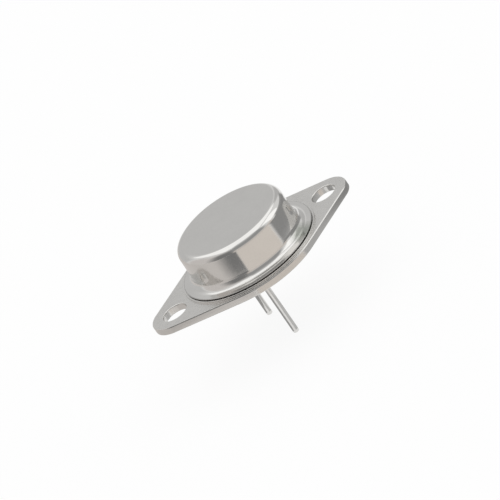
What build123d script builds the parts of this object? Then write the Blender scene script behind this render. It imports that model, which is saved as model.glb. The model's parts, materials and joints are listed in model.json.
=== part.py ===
from build123d import *
import os
from math import acos, degrees, hypot, sqrt

# Power transistor in a sealed metal can, bolted down by a rhombic header.
# Millimetres. Z = 0 is the mounting face under the header, +Z runs up through the cap,
# X is the long axis of the header, and the two leads leave along -Z.

# Header, a stamped steel rhombus with round ends
hole_spacing = 30.15
mounting_hole_dia = 4.2
hole_edge_break = 0.15
tip_radius = 4.1
waist_margin = 0.85
plate_thickness = 1.2
plate_top_break = 0.1
plate_bottom_break = 0.1

# Raised round platform that the cap is welded to, a little wider than the cap's flange
platform_margin = 0.3
platform_height = 0.3

# Cap, drawn from one sheet of steel
sheet = 0.3
cap_foot_dia = 19.24
cap_draft = 0.07
cap_flange_width = 0.73
cap_height = 6.5
cap_rim_radius = 1.3
cap_flare_radius = 1.3
cap_flange_edge_break = 0.1

# Leads, stiff wires with an upset head inside the cap. They are plated after the glass is
# fired, so the plating ends at the glass.
lead_pitch = 10.92
lead_row_offset = 1.81
lead_dia = 1.0
lead_plating = 0.01
lead_length = 12.0
lead_tip_break = 0.2
lead_stand = 2.2
lead_head_dia = 1.7
lead_head_thickness = 0.4

# Glass that seals each lead into the header
seal_hole_dia = 3.2
seal_setback = 0.1
seal_hollow = 0.15

# Heat spreader under the chip, and the layers that join the stack
spreader_x = 2.35
spreader_thickness = 1.2
spreader_edge_break = 0.2
spreader_to_seal = 0.3
braze_thickness = 0.1
braze_margin = 0.15
solder_thickness = 0.1
solder_margin = 0.25

# Chip
die_side = 5.0
die_thickness = 0.3
die_bevel = 0.12

# Clips, bent from flat strip, that join the chip to the heads of the leads
clip_thickness = 0.2
clip_bend_radius = 0.4
clip_rise = 0.6
clip_foot_length = 1.3
emitter_clip_width = 1.6
base_clip_width = 1.0
contact_x = 1.2
contact_y = 1.3
contact_solder = 0.05

# Diameters, levels and places that follow from the sizes above
cap_top_dia = cap_foot_dia - 2 * cap_draft
cap_flange_dia = cap_foot_dia + 2 * cap_flare_radius + 2 * cap_flange_width
platform_dia = cap_flange_dia + 2 * platform_margin
waist_radius = cap_flange_dia / 2 + waist_margin
platform_top = plate_thickness + platform_height
spreader_bottom = platform_top + braze_thickness
spreader_top = spreader_bottom + spreader_thickness
die_bottom = spreader_top + solder_thickness
die_top = die_bottom + die_thickness
lead_top = platform_top + lead_stand
contact_top = die_top + contact_solder
lead_y = lead_pitch / 2
wire_dia = lead_dia - 2 * lead_plating
seal_low = seal_setback
seal_high = platform_top - seal_setback
seal_middle = (wire_dia + seal_hole_dia) / 4
tip_x = hole_spacing / 2
seal_distance = hypot(spreader_x + lead_row_offset, lead_y)
spreader_radius = seal_distance - seal_hole_dia / 2 - spreader_to_seal


def save(piece, label):
    piece.part.label = label
    export_step(piece.part, f"parts/{label}.step")


os.makedirs("parts", exist_ok=True)

# Header: the straight flanks are tangent to the waist and to both ends, and tangent_angle
# is where they touch the arcs, measured from the long axis.
tangent_angle = degrees(acos((waist_radius - tip_radius) / tip_x))

with BuildPart() as header:
    with BuildSketch():
        with BuildLine():
            waist = CenterArc((0, 0), waist_radius, tangent_angle, 90 - tangent_angle)
            tip = CenterArc((tip_x, 0), tip_radius, 0, tangent_angle)
            Line(waist @ 0, tip @ 1)
            mirror(about=Plane.YZ)
            mirror(about=Plane.XZ)
        make_face()
    extrude(amount=plate_thickness)
    chamfer(header.faces().sort_by(Axis.Z)[-1].outer_wire().edges(), plate_top_break)
    chamfer(header.faces().sort_by(Axis.Z)[0].outer_wire().edges(), plate_bottom_break)
    with BuildSketch(Plane.XY.offset(plate_thickness)):
        Circle(platform_dia / 2)
    extrude(amount=platform_height)
    with Locations((-tip_x, 0, plate_thickness), (tip_x, 0, plate_thickness)):
        Hole(mounting_hole_dia / 2)
    hole_rims = header.edges().filter_by(GeomType.CIRCLE).filter_by(
        lambda rim: abs(rim.radius - mounting_hole_dia / 2) < 0.001
        and abs(rim.arc_center.Z - plate_thickness) < 0.001
    )
    chamfer(hole_rims, hole_edge_break)
    with Locations((-lead_row_offset, -lead_y, platform_top), (-lead_row_offset, lead_y, platform_top)):
        Hole(seal_hole_dia / 2)
save(header, "header")

# Cap: the foot runs in from the weld flange and up the flare, whose round is two chords of
# its arc. The skin goes on up the wall and over the rim to the axis. Inside, the corners
# are left thicker, as coining leaves them.
cap_top = platform_top + cap_height
flange_top = platform_top + sheet
flare_middle = cap_flare_radius * (1 - sqrt(1 / 2))
with BuildPart() as cap:
    with BuildSketch(Plane.XZ):
        with BuildLine():
            foot = Polyline(
                (cap_flange_dia / 2, flange_top),
                (cap_foot_dia / 2 + cap_flare_radius, flange_top),
                (cap_foot_dia / 2 + flare_middle, flange_top + flare_middle),
                (cap_foot_dia / 2, flange_top + cap_flare_radius),
            )
            skin = FilletPolyline(
                foot @ 1,
                (cap_top_dia / 2, cap_top),
                (0, cap_top),
                radius=cap_rim_radius,
            )
            Polyline(
                skin @ 1,
                (0, cap_top - sheet),
                (cap_top_dia / 2 - cap_rim_radius, cap_top - sheet),
                (cap_top_dia / 2 - sheet, cap_top - cap_rim_radius),
                (cap_foot_dia / 2 - sheet, platform_top),
                (cap_flange_dia / 2, platform_top),
                foot @ 0,
            )
        make_face()
    revolve(axis=Axis.Z)
    flange_edges = cap.edges().filter_by(GeomType.CIRCLE).filter_by(
        lambda rim: abs(rim.radius - cap_flange_dia / 2) < 0.001
    )
    chamfer(flange_edges.sort_by(Axis.Z)[-1], cap_flange_edge_break)
save(cap, "cap")

# Leads and the glass round them. The glass stands back from both faces of the header and
# is hollowed between lead and steel, as it sets after it has melted.
for side, function in ((-1, "emitter"), (1, "base")):
    lead_place = Plane(origin=(-lead_row_offset, side * lead_y, 0), x_dir=(1, 0, 0), z_dir=(0, -1, 0))

    with BuildPart() as lead:
        with BuildSketch(lead_place):
            with BuildLine():
                Polyline(
                    (0, -lead_length),
                    (lead_dia / 2, -lead_length),
                    (lead_dia / 2, seal_low),
                    (wire_dia / 2, seal_low),
                    (wire_dia / 2, lead_top - lead_head_thickness),
                    (lead_head_dia / 2, lead_top - lead_head_thickness),
                    (lead_head_dia / 2, lead_top),
                    (0, lead_top),
                    close=True,
                )
            make_face()
        revolve(axis=Axis(lead_place.origin, (0, 0, 1)))
        chamfer(lead.edges().filter_by(GeomType.CIRCLE).sort_by(Axis.Z)[0], lead_tip_break)
    save(lead, f"{function}_lead")

    with BuildPart() as seal:
        with BuildSketch(lead_place):
            with BuildLine():
                Polyline(
                    (wire_dia / 2, seal_low),
                    (seal_middle, seal_low + seal_hollow),
                    (seal_hole_dia / 2, seal_low),
                    (seal_hole_dia / 2, seal_high),
                    (seal_middle, seal_high - seal_hollow),
                    (wire_dia / 2, seal_high),
                    close=True,
                )
            make_face()
        revolve(axis=Axis(lead_place.origin, (0, 0, 1)))
    save(seal, f"{function}_seal")

# Heat spreader: a copper disc, as large as the two seals leave room for
with BuildPart() as spreader:
    with BuildSketch(Plane((spreader_x, 0, spreader_bottom))):
        Circle(spreader_radius)
    extrude(amount=spreader_thickness)
    chamfer(spreader.edges().sort_by(Axis.Z)[-1], spreader_edge_break)
save(spreader, "heat_spreader")

with BuildPart() as braze:
    with BuildSketch(Plane((spreader_x, 0, platform_top))):
        Circle(spreader_radius + braze_margin)
    extrude(amount=braze_thickness)
save(braze, "spreader_braze")

with BuildPart() as solder:
    with BuildSketch(Plane((spreader_x, 0, spreader_top))):
        Rectangle(die_side + 2 * solder_margin, die_side + 2 * solder_margin)
    extrude(amount=solder_thickness)
save(solder, "die_solder")

# Chip, with its top edges bevelled
with BuildPart() as die:
    with BuildSketch(Plane((spreader_x, 0, die_bottom))):
        Rectangle(die_side, die_side)
    extrude(amount=die_thickness)
    chamfer(die.faces().sort_by(Axis.Z)[-1].edges(), die_bevel)
save(die, "die")


# Clips: each lies flat on a lead's head, rises in a hump that gives when the can heats,
# and comes down to a flat foot, soldered to its contact on the chip. The emitter carries
# the load current, so its clip is the wider one.
for function, side, width in (("emitter", -1, emitter_clip_width), ("base", 1, base_clip_width)):
    head = Vector(-lead_row_offset, side * lead_y, lead_top)
    contact = Vector(spreader_x - contact_x, side * contact_y, lead_top)
    along = (contact - head).normalized()
    across = along.cross(Vector(0, 0, 1))
    span = (contact - head).length
    drop = contact_top - lead_top

    with BuildPart() as clip:
        with BuildSketch(Plane(origin=head, x_dir=along, z_dir=across)):
            with BuildLine():
                FilletPolyline(
                    (-lead_head_dia / 2, 0),
                    (lead_head_dia / 2, 0),
                    (span / 2, clip_rise),
                    (span - clip_foot_length / 2, drop),
                    (span + clip_foot_length / 2, drop),
                    radius=clip_bend_radius,
                )
                offset(amount=clip_thickness, side=Side.LEFT)
            make_face()
        extrude(amount=width / 2, both=True)
    save(clip, f"{function}_clip")

    with BuildPart() as joint:
        with BuildSketch(Plane(origin=contact + Vector(0, 0, die_top - lead_top), x_dir=along, z_dir=(0, 0, 1))):
            Rectangle(clip_foot_length, width)
        extrude(amount=contact_solder)
    save(joint, f"{function}_clip_solder")
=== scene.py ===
import json
from math import acos, atan2, ceil, degrees, pi, radians, tan

import bpy
import numpy as np
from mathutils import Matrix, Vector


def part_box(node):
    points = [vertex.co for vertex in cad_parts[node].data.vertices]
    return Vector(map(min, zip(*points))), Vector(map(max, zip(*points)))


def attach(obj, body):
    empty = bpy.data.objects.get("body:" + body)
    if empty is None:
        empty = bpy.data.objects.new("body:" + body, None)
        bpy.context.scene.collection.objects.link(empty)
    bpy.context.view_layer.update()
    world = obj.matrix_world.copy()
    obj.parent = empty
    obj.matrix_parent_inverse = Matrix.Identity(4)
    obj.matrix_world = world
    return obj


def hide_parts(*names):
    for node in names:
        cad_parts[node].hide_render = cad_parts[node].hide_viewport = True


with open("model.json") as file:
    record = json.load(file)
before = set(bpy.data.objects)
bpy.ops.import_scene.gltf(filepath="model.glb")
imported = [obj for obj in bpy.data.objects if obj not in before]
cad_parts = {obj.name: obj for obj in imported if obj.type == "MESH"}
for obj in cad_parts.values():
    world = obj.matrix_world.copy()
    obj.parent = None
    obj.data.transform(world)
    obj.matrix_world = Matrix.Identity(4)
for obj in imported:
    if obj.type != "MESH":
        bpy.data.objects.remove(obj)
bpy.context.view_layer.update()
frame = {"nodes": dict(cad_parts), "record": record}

# Power transistor in a sealed metal can. Sizes here are in millimetres, as in the part's
# source, and every mesh is written in metres.
MM = 0.001

# Header
tip_x = 15.075
tip_radius = 4.1
waist_radius = 12.5
plate_thickness = 1.2
plate_bevel_drop = 0.15
plate_bevel_width = 0.09
plate_top_round = 0.04
plate_bottom_round = 0.1
hole_radius = 2.1
hole_top_round = 0.15
hole_bottom_round = 0.05
platform_radius = 11.95
platform_top = 1.5
platform_round = 0.06

# Distance from the outline to the flat top of the plate, past its bevel
bevel_turn = pi / 2 - atan2(plate_bevel_width, plate_bevel_drop)
plate_edge = plate_bevel_width + plate_top_round * tan(bevel_turn / 2)

# Points of one quarter of the header's outline. The faces of the ear and of the waist meet
# at split_x, on a line of split_points. The two halves of the waist meet along Y = 0.
split_x = 12.0
tip_points = 20
ear_flank_points = 8
waist_flank_points = 5
waist_points = 16
quarter_points = tip_points + ear_flank_points + waist_flank_points + waist_points
split = tip_points + ear_flank_points - 1
split_points = 45
middle_points = 61

# Cap
sheet = 0.3
foot_radius = 9.62
foot_round_inside = 0.12
top_radius = 9.55
flange_radius = 11.65
cap_top = 8.0
rim_round = 1.3
rim_round_inside = 1.0
flare_round = 1.4
flange_edge_drop = 0.04
flange_rise = 0.17
flange_edge_round = 0.1
crevice_radius = 11.2
crevice_height = 0.12
crevice_round = 0.05

# Leads and their glass
lead_places = {"emitter": (-1.81, -5.46), "base": (-1.81, 5.46)}
lead_radius = 0.5
wire_radius = 0.49
lead_end = -12.0
lead_end_round = 0.2
lead_neck_round = 0.08
lead_head_radius = 0.85
lead_head_bottom = 3.3
lead_head_top = 3.7
lead_head_round = 0.1
seal_radius = 1.6
seal_low = 0.1
seal_high = 1.4
seal_hollow = 0.15
seal_points = 17

# Where the clips' feet stand on the chip
clip_feet = {"emitter": (1.15, -1.3), "base": (1.15, 1.3)}

# Pattern on the chip: pitch of its metal fingers, their distance from the sides, and the
# width over which they fade. They lie on the top face, above finger_bottom.
finger_pitch = 0.32
finger_border_x = 0.5
finger_border_y = 0.6
finger_fade = 0.05
finger_bottom = 0.13

# Heights over which a finish changes, from low to high
plate_face = (1.1, 1.18)
shear_bottom = (0.0, 0.1)
shear_top = (0.55, 0.75)
wall_bottom = (2.2, 3.0)
wall_top = (6.6, 7.2)
foot_bottom = (1.8, 2.0)
foot_top = (2.5, 3.4)
dull_edge_top = (1.9, 2.0)
burnt_top = (2.2, 3.0)

# Radii over which the flange's outer edge turns darker and duller, and the burnt mark
# beside it: its middle, and the distances over which it fades
dull_edge_radii = (flange_radius - 0.18, flange_radius - 0.08)
burnt_place = (7.2, -7.5, 1.9)
burnt_reach = (1.8, 3.9)

# A profile between two flat faces runs in and out along them by this length
run_in = 1.0

# Points closer than this along a profile are one point
smallest_step = 1e-6

# Points of a piece that agree to this many digits are one vertex
merge_digits = 5

full_turn = np.linspace(0, 2 * pi, 181)
wire_turn = np.linspace(0, 2 * pi, 61)

# Cards of the stage. The stage is in metres. A card on the floor lies a little over it, each
# card one step over the last, and fades at its inner and outer radius over the same length.
card_columns = 97
card_rows = 49
floor_card_height = 0.0001
floor_card_step = 0.00005
floor_card_fade = 0.004

# Rows of a floor card: close together this far past its inner radius, wider apart from this
# far past it, and close together again this far short of its outer radius
floor_card_near = 0.014
floor_card_wide = 0.02
floor_card_far = 0.003

# Floor, room and camera, whose turn is in degrees
floor_rings = (0, 0.05, 0.2, 1, 4)
floor_grey = 0.95
floor_own_white = 0.88
room_strength = 0.84
camera_lens = 353.68
camera_place = (-0.119176, -0.687484, 0.323852)
camera_turn = (60.71425, 30.97088, -25.96146)


# Surfaces

def outward(angle):
    """Unit vector at each angle from the X axis: (cos angle, sin angle)."""
    return np.stack([np.cos(angle), np.sin(angle)], axis=-1)


def smooth_runs(*corners, arc_step=7.5):
    """Splits a profile into smooth runs, each of points, normals and edge marks.

    A corner is (distance, height, radius). Its arc starts radius x tan(half the turn) before
    the corner. Where the way of travel is at angle t, the arc stands at
    centre + radius x (sin t, -cos t), and its normal is (sin t, -cos t), to the right of travel.
    A radius of 0 is a sharp corner, which ends one run and starts the next. The edge mark is 1
    along a rounded outer corner and 0 elsewhere.
    """
    places = np.array([corner[:2] for corner in corners], float)
    way = np.diff(places, axis=0)
    way /= np.linalg.norm(way, axis=1)[:, None]
    heading = np.arctan2(way[:, 1], way[:, 0])
    side = np.stack([way[:, 1], -way[:, 0]], axis=1)
    runs = []
    run = [(places[:1], side[:1], np.zeros(1))]
    for k in range(1, len(corners) - 1):
        radius = corners[k][2]
        if radius == 0:
            run.append((places[k:k + 1], side[k - 1:k], np.zeros(1)))
            runs.append(run)
            run = [(places[k:k + 1], side[k:k + 1], np.zeros(1))]
            continue
        turn = (heading[k] - heading[k - 1] + pi) % (2 * pi) - pi
        start = places[k] - way[k - 1] * radius * tan(abs(turn) / 2)
        share = np.linspace(0, 1, max(3, ceil(abs(degrees(turn)) / arc_step) + 1))
        angle = heading[k - 1] + turn * share
        normal = np.stack([np.sin(angle), -np.cos(angle)], axis=1)
        arc = start + np.sign(turn) * radius * (normal - normal[0])
        mark = ((share > 0) & (share < 1) & (turn > 0)).astype(float)
        run.append((arc, normal, mark))
    run.append((places[-1:], side[-1:], np.zeros(1)))
    runs.append(run)
    kept = []
    for run in runs:
        points, normals, marks = (np.concatenate(part) for part in zip(*run))
        step = np.linalg.norm(np.diff(points, axis=0), axis=1)
        keep = np.append(True, step > smallest_step)
        kept.append((points[keep], normals[keep], marks[keep]))
    return kept


def without_ends(runs):
    """The same runs without their first and last points, which only ran in and out."""
    return [tuple(part[1:-1] for part in run) for run in runs]


def carried(base, out, runs):
    """Carries each run along a line: base + distance x out, at the profile's height.

    base and out are arrays of (x, y), one pair for each column of the grid. Gives one patch
    a run: (points, normals, edge marks), with rows along the profile.
    """
    patches = []
    for points, normals, marks in runs:
        grid = np.empty((len(points), len(out), 3))
        grid[..., :2] = base + points[:, :1, None] * out
        grid[..., 2] = points[:, 1, None]
        facing = np.empty_like(grid)
        facing[..., :2] = normals[:, :1, None] * out
        facing[..., 2] = normals[:, 1, None]
        patches.append((grid, facing, np.repeat(marks[:, None], len(out), axis=1)))
    return patches


def turned(centre, angle, runs):
    """Turns each run about the upright axis: centre + distance x (cos angle, sin angle)."""
    return carried(np.array(centre, float), outward(angle), runs)


def faced(inner, outer, height, up):
    """Flat patch ruled between an inner and an outer ring, both counter-clockwise from above.

    Its two rows are the rings, in the order that turns the faces up or down.
    """
    grid = np.empty((2, len(inner), 3))
    grid[..., :2] = (outer, inner) if up else (inner, outer)
    grid[..., 2] = height
    facing = np.zeros_like(grid)
    facing[..., 2] = 1 if up else -1
    return grid, facing, np.zeros(grid.shape[:2])


def half_turned(patches):
    """The same patches turned half round the Z axis: (x, y) becomes (-x, -y)."""
    flip = np.array([-1, -1, 1])
    return [(grid * flip, facing * flip, marks) for grid, facing, marks in patches]


def mirrored(patches):
    """The same patches mirrored in the XZ plane, with their columns in the other order."""
    flip = np.array([1, -1, 1])
    return [
        (grid[:, ::-1] * flip, facing[:, ::-1] * flip, marks[:, ::-1])
        for grid, facing, marks in patches
    ]


def grid_faces(rows, columns):
    """Four-sided faces of a grid of points that are numbered row by row."""
    index = np.arange(rows * columns).reshape(rows, columns)
    quads = np.stack([index[:-1, :-1], index[:-1, 1:], index[1:, 1:], index[1:, :-1]], axis=-1)
    return quads.reshape(-1, 4)


def shown(name, data):
    """Object in the scene that shows the data."""
    thing = bpy.data.objects.new(name, data)
    bpy.context.scene.collection.objects.link(thing)
    return thing


def make_piece(name, patches, finish, slot, *nodes):
    """Joins patches into one closed mesh in metres that stands for the CAD nodes.

    Points that coincide become one vertex. Each corner of a face keeps the exact normal of
    its own patch, and the edge marks go along as the attribute edge_mark.
    """
    points, corners, facing, marks, used = [], [], [], [], 0
    for grid, normal, mark in patches:
        corners.append(used + grid_faces(*mark.shape))
        points.append(grid.reshape(-1, 3))
        facing.append(normal.reshape(-1, 3))
        marks.append(mark.reshape(-1))
        used += mark.size
    points, corners = np.concatenate(points), np.concatenate(corners)
    facing, marks = np.concatenate(facing), np.concatenate(marks)
    _, first, merged = np.unique(
        np.round(points, merge_digits) + 0.0, axis=0, return_index=True, return_inverse=True
    )
    vertex = merged.reshape(-1)[corners]
    keep = vertex != np.roll(vertex, 1, axis=1)
    whole = keep.sum(axis=1) >= 3
    corners, vertex, keep = corners[whole], vertex[whole], keep[whole]
    sizes = keep.sum(axis=1)
    starts = np.append(0, np.cumsum(sizes)[:-1])
    loops = vertex[keep]
    mesh = bpy.data.meshes.new(name)
    mesh.vertices.add(len(first))
    mesh.vertices.foreach_set("co", (points[first] * MM).ravel())
    mesh.loops.add(len(loops))
    mesh.loops.foreach_set("vertex_index", loops.astype(np.int32))
    mesh.polygons.add(len(sizes))
    mesh.polygons.foreach_set("loop_start", starts.astype(np.int32))
    mesh.update(calc_edges=True)
    mesh.validate()
    mesh.normals_split_custom_set(facing[corners[keep]].tolist())
    edge = mesh.attributes.new("edge_mark", "FLOAT", "CORNER")
    edge.data.foreach_set("value", marks[corners[keep]])
    mesh.materials.append(finish)
    piece = shown(name, mesh)
    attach(piece, "root")
    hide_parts(*nodes)


# Finishes

# Sockets of the Mix node that carry colours
colour_a, colour_b, colour_result = 6, 7, 2


class Signal:
    """An output socket of a finish. Arithmetic on it adds Math nodes to the finish."""

    def __init__(self, finish, socket):
        self.finish, self.socket = finish, socket

    def __add__(self, other):
        return self.finish.math("ADD", self, other)

    def __sub__(self, other):
        return self.finish.math("SUBTRACT", self, other)

    def __rsub__(self, other):
        return self.finish.math("SUBTRACT", other, self)

    def __mul__(self, other):
        return self.finish.math("MULTIPLY", self, other)

    def __abs__(self):
        return self.finish.math("ABSOLUTE", self)

    __radd__ = __add__
    __rmul__ = __mul__


class Finish:
    """A material and the nodes that make it."""

    def __init__(self, name):
        self.material = bpy.data.materials.new(name)
        self.material.use_nodes = True
        self.tree = self.material.node_tree
        self.tree.nodes.clear()

    def node(self, kind, settings=None, sockets=None, output=0):
        """Adds one node, with its settings first and then its sockets' values or links."""
        made = self.tree.nodes.new("ShaderNode" + kind)
        for setting, value in (settings or {}).items():
            setattr(made, setting, value)
        for key, value in (sockets or {}).items():
            if isinstance(value, Signal):
                self.tree.links.new(value.socket, made.inputs[key])
            else:
                made.inputs[key].default_value = value
        return Signal(self, made.outputs[output])

    def outputs(self, signal, *keys):
        """Several outputs of the node that a signal comes from."""
        sockets = signal.socket.node.outputs
        return [Signal(self, sockets[key]) for key in keys]

    def math(self, operation, *terms):
        """Math on values, in their order."""
        return self.node("Math", {"operation": operation}, dict(enumerate(terms)))

    def vector(self, operation, *terms, output=0):
        """Vector Math on vectors, in their order."""
        return self.node("VectorMath", {"operation": operation}, dict(enumerate(terms)), output)

    def place(self, stretch=(1, 1, 1), centre=(0, 0, 0)):
        """Object coordinates in millimetres from centre, multiplied by stretch."""
        here = self.node("TexCoord", output="Object")
        moved = self.vector("SUBTRACT", here, [part * MM for part in centre])
        return self.vector("MULTIPLY", moved, [part / MM for part in stretch])

    def parts(self, vector):
        """The x, y and z of a vector."""
        return self.outputs(self.node("SeparateXYZ", sockets={0: vector}), 0, 1, 2)

    def noise(self, vector, size, detail=2, roughness=0.5):
        """Noise whose patches are about size millimetres across, from 0 to 1 round 0.5."""
        return self.node("TexNoise", sockets={
            "Vector": vector, "Scale": 1 / size, "Detail": detail, "Roughness": roughness,
        })

    def mix(self, share, first, last):
        """Colour first, going over to last by share."""
        first, last = ((*c, 1) if isinstance(c, tuple) else c for c in (first, last))
        sockets = {0: share, colour_a: first, colour_b: last}
        return self.node("Mix", {"data_type": "RGBA"}, sockets, colour_result)

    def blend(self, share, first, last):
        """Shader first, going over to last by share."""
        return self.node("MixShader", sockets={0: share, 1: first, 2: last})

    def scaled(self, value, low, high, new_low=0, new_high=1):
        """Value from low to high brought to new_low to new_high, and held there."""
        return self.node("MapRange", sockets={
            "Value": value,
            "From Min": low, "From Max": high, "To Min": new_low, "To Max": new_high,
        })

    def above(self, value, ends):
        """0 below both ends, 1 above both, and straight in between."""
        return self.scaled(value, *ends)

    def below(self, value, ends):
        """1 below both ends, 0 above both, and straight in between."""
        return self.scaled(value, *ends, 1, 0)

    def relief(self, height):
        """Normal of a surface raised by height, in micrometres."""
        metres = height * (MM * MM)
        return self.node("Bump", sockets={"Strength": 1, "Distance": 1, "Height": metres})

    def mark(self, name):
        """A mesh's own attribute of that name."""
        return self.node("Attribute", {"attribute_name": name}, output="Fac")

    def principled(self, **sockets):
        """Closes the finish with one Principled shader."""
        named = {key.replace("_", " "): value for key, value in sockets.items()}
        return self.surface(self.node("BsdfPrincipled", sockets=named))

    def metal(self, tint, rough, height):
        """Closes the finish as bare or plated metal."""
        return self.principled(
            Base_Color=tint, Metallic=1.0, Roughness=rough, Normal=self.relief(height),
        )

    def surface(self, shader):
        """Joins the shader to the output and gives the material."""
        output = self.tree.nodes.new("ShaderNodeOutputMaterial")
        self.tree.links.new(shader.socket, output.inputs["Surface"])
        return self.material


def slot_colour(name):
    """Base colour that the record gives a material slot."""
    for slot in frame["record"]["materials"]:
        if slot["slot"] == name:
            return tuple(slot["base_color"][:3])


def shade(colour, by):
    """Colour made darker or lighter: each part x a factor, up to 1."""
    return tuple(min(1.0, part * by) for part in colour)


def satin_nickel():
    """Header: satin nickel over stamped steel, with fine pits and a sheared, torn side."""
    f = Finish("satin_nickel_plate")
    here = f.place()
    _, _, z = f.parts(here)
    base = slot_colour("header_steel")
    cloud = f.noise(here, 2.4, 4, 0.6)
    mottle = f.noise(here, 0.5, 3, 0.6)
    pits = f.noise(here, 0.16, 2, 0.6)
    shear = f.noise(f.place((1, 1, 0.12)), 0.22, 3, 0.6)
    edge = f.mark("edge_mark")
    patches = f.scaled(cloud * 0.5 + mottle * 0.5, 0.3, 0.7)
    tint = f.mix(patches, shade(base, 0.97), shade(base, 1.05))
    tint = f.mix(edge * 0.5, tint, shade(base, 1.1))
    rough = f.scaled(mottle, 0.25, 0.75, 0.13, 0.18)
    rough = rough + f.above(z, plate_face) * 0.13 - edge * 0.05
    torn = f.below(z, shear_top) * f.above(z, shear_bottom)
    height = cloud * 5 + mottle * 0.8 + pits * 0.3 + shear * 1.5 * torn
    return f.metal(tint, rough, height)


def bright_nickel():
    """Cap: semi-bright nickel over drawn steel, with draw lines up the wall.

    The draw lines are noise at foot radius x (cos a, sin a), stretched upwards, for the angle
    a about the axis. The flange's outer edge is darker and duller, and burnt on one side.
    """
    f = Finish("semi_bright_nickel_plate")
    here = f.place()
    _, _, z = f.parts(here)
    base = slot_colour("cap_steel")
    cloud = f.noise(here, 3.5, 3, 0.5)
    mottle = f.noise(here, 0.45, 3, 0.6)
    grain = f.noise(here, 0.12, 2, 0.6)
    flat = f.vector("MULTIPLY", here, (1, 1, 0))
    round_wall = (foot_radius, foot_radius, 0)
    wall_place = f.vector(
        "MULTIPLY_ADD", f.vector("NORMALIZE", flat), round_wall, f.place((0, 0, 0.04)),
    )
    lines = f.noise(wall_place, 0.14, 3, 0.65) * (f.above(z, wall_bottom) * f.below(z, wall_top))
    foot = f.below(z, foot_top) * f.above(z, foot_bottom)
    reach = f.vector("LENGTH", flat, output="Value")
    # Darker and duller towards the flange's outer edge, below its top
    dull_flange_edge = f.above(reach, dull_edge_radii) * f.below(z, dull_edge_top)
    away = f.vector("LENGTH", f.place(centre=burnt_place), output="Value")
    burnt = f.below(away + mottle * 1.6, burnt_reach) * f.below(z, burnt_top)
    patches = f.scaled(cloud * 0.6 + mottle * 0.4, 0.3, 0.7)
    tint = f.mix(patches, shade(base, 0.97), shade(base, 1.03))
    tint = f.mix(dull_flange_edge, tint, shade(base, 0.66))
    tint = f.mix(burnt * 0.8, tint, (0.3, 0.32, 0.28))
    rough = f.scaled(mottle, 0.25, 0.75, 0.07, 0.11)
    rough = rough + lines * 0.03 + foot * 0.02 + dull_flange_edge * 0.16
    height = cloud * 3 + mottle * 0.5 + grain * 0.2 + lines * 0.3 + mottle * foot * 2
    return f.metal(tint, rough, height)


def lead_nickel():
    """Leads: bright nickel over drawn wire, with lines along the wire."""
    f = Finish("bright_nickel_lead_plate")
    base = slot_colour("lead_plating")
    lines = f.noise(f.place((1, 1, 0.05)), 0.09, 3, 0.6)
    mottle = f.noise(f.place(), 0.35, 3, 0.6)
    tint = f.mix(f.scaled(mottle, 0.3, 0.7), shade(base, 0.9), shade(base, 1.03))
    rough = f.scaled(mottle, 0.25, 0.75, 0.1, 0.18)
    return f.metal(tint, rough, lines * 0.8 + mottle * 1.2)


def fired_glass():
    """Seals: dark grey-green glass with small bubbles under its fired skin."""
    f = Finish("fired_seal_glass")
    here = f.place()
    base = slot_colour("seal_glass")
    cloud = f.noise(here, 0.6, 3, 0.55)
    cells = f.node("TexVoronoi", {"feature": "F1"}, {"Vector": here, "Scale": 7.0}, "Distance")
    bubble = f.below(cells, (0.1, 0.2))
    tint = f.mix(f.scaled(cloud, 0.3, 0.7), shade(base, 0.45), shade(base, 0.7))
    tint = f.mix(bubble * 0.5, tint, shade(base, 1.3))
    rough = f.scaled(cloud, 0.3, 0.7, 0.06, 0.12) + bubble * 0.1
    return f.principled(
        Base_Color=tint, Roughness=rough, Normal=f.relief(cloud * 6 + bubble * 2), IOR=1.52,
        Coat_Weight=0.4, Coat_Roughness=0.04,
    )


def turned_copper(centre):
    """Heat spreader: copper faced on a lathe, with rings about its own axis."""
    f = Finish("turned_copper")
    here = f.place(centre=centre)
    base = slot_colour("copper")
    reach = f.vector("LENGTH", f.vector("MULTIPLY", here, (1, 1, 0)), output="Value")
    rings = f.node("TexNoise", {"noise_dimensions": "1D"}, {
        "W": reach, "Scale": 9.0, "Detail": 3.0,
    })
    stain = f.noise(here, 1.8, 4, 0.6)
    tint = f.mix(f.scaled(stain, 0.3, 0.75), shade(base, 1.08), shade(base, 0.7))
    rough = f.scaled(stain, 0.3, 0.7, 0.22, 0.36)
    return f.metal(tint, rough, rings * 5 + stain * 3)


def melted_metal(name, slot, size, rough_low, rough_high):
    """Braze or solder: metal that has melted and set, with frozen ripples and dull patches."""
    f = Finish(name)
    here = f.place()
    base = slot_colour(slot)
    ripple = f.noise(here, size, 3, 0.5)
    grain = f.noise(here, size / 5, 3, 0.6)
    patches = f.scaled(grain * 0.5 + ripple * 0.5, 0.3, 0.7)
    tint = f.mix(patches, shade(base, 0.82), shade(base, 1.1))
    rough = f.scaled(grain, 0.3, 0.7, rough_low, rough_high)
    return f.metal(tint, rough, ripple * 14 + grain * 3)


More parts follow.
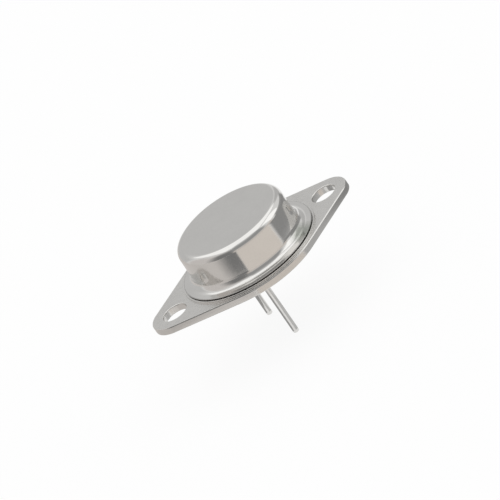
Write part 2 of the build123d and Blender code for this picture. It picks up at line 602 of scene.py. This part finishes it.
def polished_silicon(centre, side):
    """Chip: polished silicon with a comb of metal fingers inside a plain border.

    The fingers are where sin(2 pi x / pitch) is above 0.
    """
    f = Finish("polished_silicon")
    here = f.place(centre=centre)
    base = slot_colour("silicon")
    x, y, z = f.parts(here)
    finger = f.scaled(f.math("SINE", x * (2 * pi / finger_pitch)), -0.1, 0.1)
    reach_x, reach_y = side / 2 - finger_border_x, side / 2 - finger_border_y
    inside = f.below(abs(x), (reach_x - finger_fade, reach_x))
    inside = inside * f.below(abs(y), (reach_y - finger_fade, reach_y))
    metal = finger * inside * f.above(z, (finger_bottom, finger_bottom + 0.01))
    haze = f.noise(here, 0.8, 3, 0.5)
    tint = f.mix(metal, f.mix(haze, shade(base, 0.9), shade(base, 1.15)), (0.72, 0.72, 0.73))
    rough = f.scaled(haze, 0.3, 0.7, 0.1, 0.16) + metal * 0.12
    return f.principled(
        Base_Color=tint, Metallic=metal * 0.9 + 0.1, Roughness=rough,
        Normal=f.relief(metal * 1.5 + haze * 0.5),
    )


def rolled_strip(name, start, end):
    """Clip: nickel strip with rolling lines along its length, from start to end."""
    f = Finish(name)
    base = slot_colour("clip_strip")
    turn = atan2(end[1] - start[1], end[0] - start[0])
    here = f.place()
    aligned = f.node("VectorRotate", {"rotation_type": "Z_AXIS"}, {"Vector": here, "Angle": -turn})
    lines = f.noise(f.vector("MULTIPLY", aligned, (0.05, 1, 1)), 0.06, 3, 0.6)
    mottle = f.noise(here, 0.6, 3, 0.55)
    tint = f.mix(f.scaled(mottle, 0.3, 0.7), shade(base, 0.88), shade(base, 1.04))
    rough = f.scaled(lines * 0.6 + mottle * 0.4, 0.3, 0.7, 0.16, 0.28)
    return f.metal(tint, rough, lines * 1.2 + mottle * 2)


# Pieces

def header_outline():
    """Points and normals of the header's outline, counter-clockwise from its right end.

    One quarter is an arc about the screw hole, a straight flank and an arc about the middle:
    centre + radius x (cos t, sin t), and a straight line between. Mirroring it in both axes
    gives the rest.
    """
    touch = acos((waist_radius - tip_radius) / tip_x)
    normal = outward(touch)
    tip = (tip_x, 0) + tip_radius * normal
    waist = waist_radius * normal
    at_split = (tip[0] - split_x) / (tip[0] - waist[0])
    share = np.append(
        np.linspace(0, at_split, ear_flank_points + 1)[1:],
        np.linspace(at_split, 1, waist_flank_points + 2)[1:-1],
    )
    near_tip = outward(np.linspace(0, touch, tip_points))
    near_waist = outward(np.linspace(touch, pi / 2, waist_points))
    points = np.concatenate([
        (tip_x, 0) + tip_radius * near_tip,
        tip + share[:, None] * (waist - tip),
        waist_radius * near_waist,
    ])
    normals = np.concatenate([near_tip, np.tile(normal, (len(share), 1)), near_waist])

    def all_round(quarter):
        return np.concatenate([
            quarter, quarter[-2::-1] * (-1, 1), quarter[1:] * (-1, -1), quarter[-2::-1] * (1, -1),
        ])

    return all_round(points), all_round(normals)


def bearing_of(ring, centre):
    """Unwrapped bearings of a ring's points: the angle of each point - centre."""
    away = ring - np.array(centre)
    return np.unwrap(np.arctan2(away[:, 1], away[:, 0]))


def split_line(ring):
    """Points down the split line from +Y, evenly spread as seen from the screw hole.

    At bearing t the line stands at distance x tan t from the X axis.
    """
    x, y = ring[split]
    distance = tip_x - x
    widest = atan2(y, distance)
    bearing = np.linspace(widest, -widest, split_points)
    return np.stack([np.full(split_points, x), distance * np.tan(bearing)], axis=1)


def ear_ring(ring):
    """Ring round the right screw hole's share of a face."""
    last = len(ring) - 1
    return np.concatenate([ring[last - split:last], ring[:split], split_line(ring)])


def half_ring(ring):
    """Ring round the half of the waist on the +Y side, without its straight edge at Y = 0."""
    line = split_line(ring)[:split_points // 2 + 1]
    other_split = 2 * quarter_points - 2 - split
    return np.concatenate([line[::-1], ring[split + 1:other_split], line * (-1, 1)])


def ear_patches(top, low):
    """Faces of both ears, inside the outline at the top and at the bottom, and their holes."""
    centre = (tip_x, 0)
    top_ring, low_ring = ear_ring(top), ear_ring(low)
    bearing = bearing_of(top_ring, centre)
    top_rim = centre + (hole_radius + hole_top_round) * outward(bearing)
    low_rim = centre + (hole_radius + hole_bottom_round) * outward(bearing)
    bore = without_ends(smooth_runs(
        (hole_radius + run_in, plate_thickness, 0),
        (hole_radius, plate_thickness, hole_top_round),
        (hole_radius, 0, hole_bottom_round),
        (hole_radius + run_in, 0, 0),
    ))
    ear = [
        faced(top_rim, top_ring, plate_thickness, True),
        *turned(centre, bearing, bore),
        faced(low_rim, low_ring, 0, False),
    ]
    return ear + half_turned(ear)


def waist_patches(top, low):
    """Faces of the waist: the plate's top round the platform, the platform, and the underside."""
    top_half, low_half = half_ring(top), half_ring(low)
    top_ring = np.concatenate([top_half, -top_half[1:]])
    bearing = bearing_of(top_ring, (0, 0))
    foot = (platform_radius + platform_round) * outward(bearing)
    platform = without_ends(smooth_runs(
        (platform_radius + run_in, plate_thickness, 0),
        (platform_radius, plate_thickness, platform_round),
        (platform_radius, platform_top, platform_round),
        (platform_radius - run_in, platform_top, 0),
    ))
    patches = [faced(foot, top_ring, plate_thickness, True), *turned((0, 0), bearing, platform)]

    # The straight edge at Y = 0 is shared by the two seals' shares of each face.
    edge = np.zeros((middle_points - 1, 2))
    edge[:, 0] = np.linspace(-1, 1, middle_points)[1:]
    low_ring = np.concatenate([low_half, edge * low_half[0, 0]])
    reach = platform_radius - platform_round
    high_ring = np.concatenate([reach * outward(bearing[:len(top_half)]), edge * reach])
    seal_place = np.array(lead_places["base"])
    seal_bearing = bearing_of(low_ring, seal_place)
    circle = seal_place + seal_radius * outward(seal_bearing)
    bore = smooth_runs((seal_radius, platform_top, 0), (seal_radius, 0, 0))
    half = [
        faced(circle, low_ring, 0, False),
        faced(circle, high_ring, platform_top, True),
        *turned(seal_place, seal_bearing, bore),
    ]
    return patches + half + mirrored(half)


def make_header(finish):
    """Header: its outline carried up a rounded profile, with flat faces that reach its holes.

    Each flat face is ruled between a hole's circle and the ring of points round that hole's
    share of the face, so every ring has the same points as its neighbour.
    """
    points, normals = header_outline()
    side = without_ends(smooth_runs(
        (-run_in, 0, 0),
        (0, 0, plate_bottom_round),
        (0, plate_thickness - plate_bevel_drop, plate_top_round),
        (-plate_bevel_width, plate_thickness, plate_top_round),
        (-run_in, plate_thickness, 0),
    ))
    top, low = points - plate_edge * normals, points - plate_bottom_round * normals
    patches = carried(points, normals, side) + ear_patches(top, low) + waist_patches(top, low)
    make_piece("nickel_plated_header", patches, finish, "header_steel", "header")


def make_cap(finish):
    """Cap: one profile turned about the axis, from the axis inside, round the flange, to the top.

    Its corners have the drawn sheet's radii: the flare into the flange, the rim, and the
    inner corners. The flange slopes down a little to its edge, and outside the weld it
    stands just off the platform.
    """
    flange_low = platform_top + crevice_height
    flange_high = platform_top + sheet
    profile = smooth_runs(
        (0, cap_top - sheet, 0),
        (top_radius - sheet, cap_top - sheet, rim_round_inside),
        (foot_radius - sheet, platform_top, foot_round_inside),
        (crevice_radius, platform_top, 0),
        (crevice_radius + crevice_height, flange_low, crevice_round),
        (flange_radius, flange_low, crevice_round),
        (flange_radius, flange_high - flange_edge_drop, flange_edge_round),
        (foot_radius, flange_high + flange_rise, flare_round),
        (top_radius, cap_top, rim_round),
        (0, cap_top, 0),
        arc_step=5,
    )
    make_piece("nickel_plated_cap", turned((0, 0), full_turn, profile), finish, "cap_steel", "cap")


def make_lead(function, finish):
    """Lead: a wire with a rounded end, plated up to the glass, and an upset head, turned."""
    profile = smooth_runs(
        (0, lead_end, 0),
        (lead_radius, lead_end, lead_end_round),
        (lead_radius, seal_low, 0),
        (wire_radius, seal_low, 0),
        (wire_radius, lead_head_bottom, lead_neck_round),
        (lead_head_radius, lead_head_bottom, lead_head_round),
        (lead_head_radius, lead_head_top, lead_head_round),
        (0, lead_head_top, 0),
        arc_step=9,
    )
    make_piece(
        f"plated_{function}_lead", turned(lead_places[function], wire_turn, profile),
        finish, "lead_plating", f"{function}_lead",
    )


def make_seal(function, finish):
    """Seal: glass ring whose faces sag between lead and steel.

    At a share s of the way from lead to steel they sag by hollow x the square of sin(pi s),
    which has the slope hollow x pi x sin(2 pi s) over the ring's width.
    """
    share = np.linspace(0, 1, seal_points)
    width = seal_radius - wire_radius
    reach = wire_radius + share * width
    sag = seal_hollow * np.sin(pi * share) ** 2
    slope = seal_hollow * pi * np.sin(2 * pi * share) / width
    lean = np.stack([slope, -np.ones_like(slope)], axis=1)
    lean /= np.linalg.norm(lean, axis=1)[:, None]
    no_marks = np.zeros(seal_points)
    under = (np.stack([reach, seal_low + sag], axis=1), lean, no_marks)
    over = (np.stack([reach, seal_high - sag], axis=1)[::-1], lean[::-1] * (1, -1), no_marks)
    walls = smooth_runs((seal_radius, seal_low, 0), (seal_radius, seal_high, 0))
    walls += smooth_runs((wire_radius, seal_high, 0), (wire_radius, seal_low, 0))
    make_piece(
        f"{function}_glass_seal",
        turned(lead_places[function], wire_turn, [under, over, *walls]),
        finish, "seal_glass", f"{function}_seal",
    )


# CAD nodes

def box_of(node):
    """Middle of a CAD node's box, at its lowest level, and its length in X, in millimetres."""
    low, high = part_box(node)
    middle = [(low[0] + high[0]) / 2 / MM, (low[1] + high[1]) / 2 / MM, low[2] / MM]
    return middle, (high[0] - low[0]) / MM


def refinish(finish, *nodes):
    """Gives CAD nodes a finish in each of their material slots."""
    for node in nodes:
        part = frame["nodes"][node]
        if not part.material_slots:
            part.data.materials.append(finish)
        for place in part.material_slots:
            place.material = finish


# Stage

def sky(a, e):
    """Way from the object at azimuth a and elevation e: (cos e cos a, cos e sin a, sin e)."""
    return np.stack([np.cos(e) * np.cos(a), np.cos(e) * np.sin(a), np.sin(e)], axis=-1)


def ground(a, r, height):
    """Point at azimuth a and radius r: (r cos a, r sin a, height)."""
    return np.stack([r * np.cos(a), r * np.sin(a), np.full_like(r, height)], axis=-1)


def fading(value, ends, fades):
    """Cover from 0 at either end to 1 within it.

    At a share t of the way through an end's own fade it is 3 x t squared - 2 x t cubed.
    """
    share = np.minimum((value - ends[0]) / fades[0], (ends[1] - value) / fades[1])
    share = np.clip(share, 0, 1)
    return share * share * (3 - 2 * share)


def plain(tone):
    """A grey of one tone."""
    return (tone, tone, tone)


def set_up(name, points, faces, finish):
    """Puts a grid of points on the stage."""
    mesh = bpy.data.meshes.new(name)
    mesh.from_pydata(points.reshape(-1, 3), [], faces)
    mesh.materials.append(finish)
    piece = shown(name, mesh)
    return piece


def make_card(name, points, cover, tone):
    """Card that glows at its own tone, unlit by the lamps, and that only the metal mirrors: a
    painted reflection. Its fading edges are the attribute cover.
    """
    f = Finish(name + "_glowing_panel")
    clear = f.node("BsdfTransparent")
    # The card's face glows at its tone: an emission, not paper lit by the lamps
    glowing_panel = f.node("Emission", sockets={"Color": (*tone, 1), "Strength": 1.0})
    finish = f.surface(f.blend(f.mark("cover"), clear, glowing_panel))
    card = set_up(name, points, grid_faces(*cover.shape), finish)
    card.data.attributes.new("cover", "FLOAT", "POINT").data.foreach_set("value", cover.ravel())
    card.visible_camera = card.visible_diffuse = card.visible_shadow = False
    card.visible_transmission = card.visible_volume_scatter = False


def board(name, azimuth, elevation, tone, reach, sides, ends):
    """Card that stands round the object, as part of a sphere whose radius is reach.

    It fades out over its own angle at each of its sides and at its bottom and top.
    """
    a, e = np.meshgrid(np.linspace(*azimuth, card_columns), np.linspace(*elevation, card_rows))
    cover = fading(a, azimuth, sides) * fading(e, elevation, ends)
    make_card(name, reach * sky(np.radians(a), np.radians(e)), cover, tone)


def floor_board(name, azimuth, tone, layer, sides, inner=-0.01, outer=0.8, centre=(0, 0)):
    """Card that lies just over the floor, from its inner to its outer radius about centre.

    It fades out over its own angle at each side and over 4 mm at each radius. Each card has
    its own layer, 0.05 mm over the last.
    """
    reach = np.unique(np.concatenate([
        np.linspace(max(inner, 0), inner + floor_card_near, 8),
        np.linspace(inner + floor_card_wide, outer - floor_card_fade, 12),
        np.linspace(outer - floor_card_far, outer, 4),
    ]))
    a, r = np.meshgrid(np.linspace(*azimuth, card_columns), reach)
    cover = fading(a, azimuth, sides) * fading(r, (inner, outer), (floor_card_fade,) * 2)
    height = lead_end * MM + floor_card_height + layer * floor_card_step
    make_card(name, ground(np.radians(a), r, height) + (*centre, 0), cover, tone)


def make_floor():
    """Floor: a white disc under the leads' ends.

    It shows white itself and keeps a light share of the object's shadow. From below it is
    clear, so that the underside can be seen.
    """
    a, r = np.meshgrid(np.linspace(0, 2 * pi, 65), floor_rings)
    f = Finish("white_floor")
    camera_ray, glossy_ray, transmission_ray = f.outputs(
        f.node("LightPath"), "Is Camera Ray", "Is Glossy Ray", "Is Transmission Ray",
    )
    direct = camera_ray + glossy_ray + transmission_ray
    matte = f.node("BsdfDiffuse", sockets={"Color": (*plain(floor_grey), 1)})
    white = f.node("Emission", sockets={"Color": (1, 1, 1, 1), "Strength": 1.0})
    above = f.blend(direct * floor_own_white, matte, white)
    from_below = f.node("NewGeometry", output="Backfacing")
    finish = f.surface(f.blend(from_below, above, f.node("BsdfTransparent")))
    set_up("floor", ground(a, r, lead_end * MM), grid_faces(*r.shape)[:, ::-1], finish)


def lamp(name, azimuth, elevation, reach, size, radiance):
    """Softbox facing the object, whose face is as bright as radiance x white.

    Its power is radiance x pi x the area of its face.
    """
    data = bpy.data.lights.new(name, "AREA")
    data.shape = "RECTANGLE"
    data.size, data.size_y = size
    data.energy = radiance * pi * size[0] * size[1]
    box = shown(name, data)
    a, e = radians(azimuth), radians(elevation)
    box.location = reach * sky(a, e)
    box.rotation_euler = (pi / 2 - e, 0, a + pi / 2)
    box.visible_camera = False


def make_studio():
    """White surroundings, two softboxes and the glowing cards that paint what the metal mirrors.
    A flag is a dark glowing card. The boards name their azimuths, elevations, tone, reach and
    fades.

    A flag is a dark card. The boards name their azimuths, elevations, tone, reach and fades.
    The floor boards name their azimuths, tone, layer, fades and radii. A lamp names its
    azimuth, elevation, reach, size and radiance.
    """
    world = bpy.data.worlds.new("white_room")
    world.use_nodes = True
    bpy.context.scene.world = world
    background = world.node_tree.nodes["Background"]
    background.inputs["Color"].default_value = (1, 1, 1, 1)
    background.inputs["Strength"].default_value = room_strength

    lamp("overhead_softbox", 80, 75, 0.95, (1.05, 1.25), 0.36)
    lamp("side_softbox", 347, 36, 0.95, (0.56, 0.66), 0.44)

    # Glowing cards round the object, seen only in the metal: painted reflections of the room
    board("back_card", (62, 138), (-4, 44), plain(0.615), 0.95, (10, 10), (4, 20))
    board("left_card", (132, 236), (-14, 62), (0.69, 0.66, 0.645), 0.96, (12, 10), (6, 24))
    board("left_flag", (174, 246), (-14, 64), plain(0.22), 0.94, (32, 6), (6, 32))
    board("front_card", (226, 322), (8, 84), plain(0.36), 0.93, (14, 14), (16, 40))
    board("front_low_card", (234, 336), (-14, 24), (0.68, 0.63, 0.59), 0.92, (6, 8), (6, 16))
    board("right_low_flag", (-20, 46), (-14, 18), plain(0.34), 0.91, (8, 8), (6, 9))
    board("right_card", (36, 66), (-6, 44), plain(0.56), 0.96, (8, 8), (6, 12))

    # Glowing cards just over the floor, seen only in the metal: painted reflections of a floor
    # that the camera sees white
    floor_board("floor_left_card", (84, 242), (0.66, 0.63, 0.61), 0, (14, 10), 0.022)
    floor_board("floor_flag", (194, 245), plain(0.22), 1, (34, 4), 0.04)
    floor_board("floor_front_card", (241, 322), (0.77, 0.715, 0.665), 2, (3, 8), 0.022)
    floor_board("floor_right_flag", (-44, 46), plain(0.31), 3, (8, 8), 0.02)
    floor_board("floor_left_near_card", (196, 243), (0.82, 0.79, 0.77), 4, (8, 6), 0.022, 0.043)
    floor_board("floor_right_near_card", (-44, 24), plain(0.56), 5, (8, 8), 0.02, 0.043)
    # Glowing cards round each lead's foot paint what the leads mirror: darker on the far side,
    # lighter on the near side
    for layer, (function, (x, y)) in enumerate(lead_places.items()):
        foot = (x * MM, y * MM)
        floor_board(
            f"{function}_back_card", (104, 214), plain(0.38), 6 + layer, (4, 10),
            outer=0.02, centre=foot,
        )
        floor_board(
            f"{function}_front_card", (268, 348), plain(0.6), 8 + layer, (8, 8),
            outer=0.022, centre=foot,
        )


def make_camera():
    """Camera at the photograph's angle, with a long lens."""
    data = bpy.data.cameras.new("camera")
    data.lens = camera_lens
    data.sensor_width = 36.0
    data.clip_start, data.clip_end = 0.01, 20.0
    camera = shown("camera", data)
    camera.location = camera_place
    camera.rotation_euler = [radians(turn) for turn in camera_turn]
    bpy.context.scene.camera = camera


# The whole scene

bpy.context.scene.view_settings.view_transform = "Standard"
make_camera()
make_floor()
make_studio()

make_header(satin_nickel())
make_cap(bright_nickel())
nickel_on_leads, glass = lead_nickel(), fired_glass()
for function, place in lead_places.items():
    make_lead(function, nickel_on_leads)
    make_seal(function, glass)
    strip = rolled_strip(f"{function}_clip_strip", place, clip_feet[function])
    refinish(strip, f"{function}_clip")

spreader_middle, _ = box_of("heat_spreader")
die_middle, die_side = box_of("die")
refinish(turned_copper(spreader_middle), "heat_spreader")
refinish(melted_metal("set_braze", "braze", 1.2, 0.2, 0.34), "spreader_braze")
refinish(
    melted_metal("set_solder", "solder", 0.7, 0.24, 0.4),
    "die_solder", "emitter_clip_solder", "base_clip_solder",
)
refinish(polished_silicon(die_middle, die_side), "die")
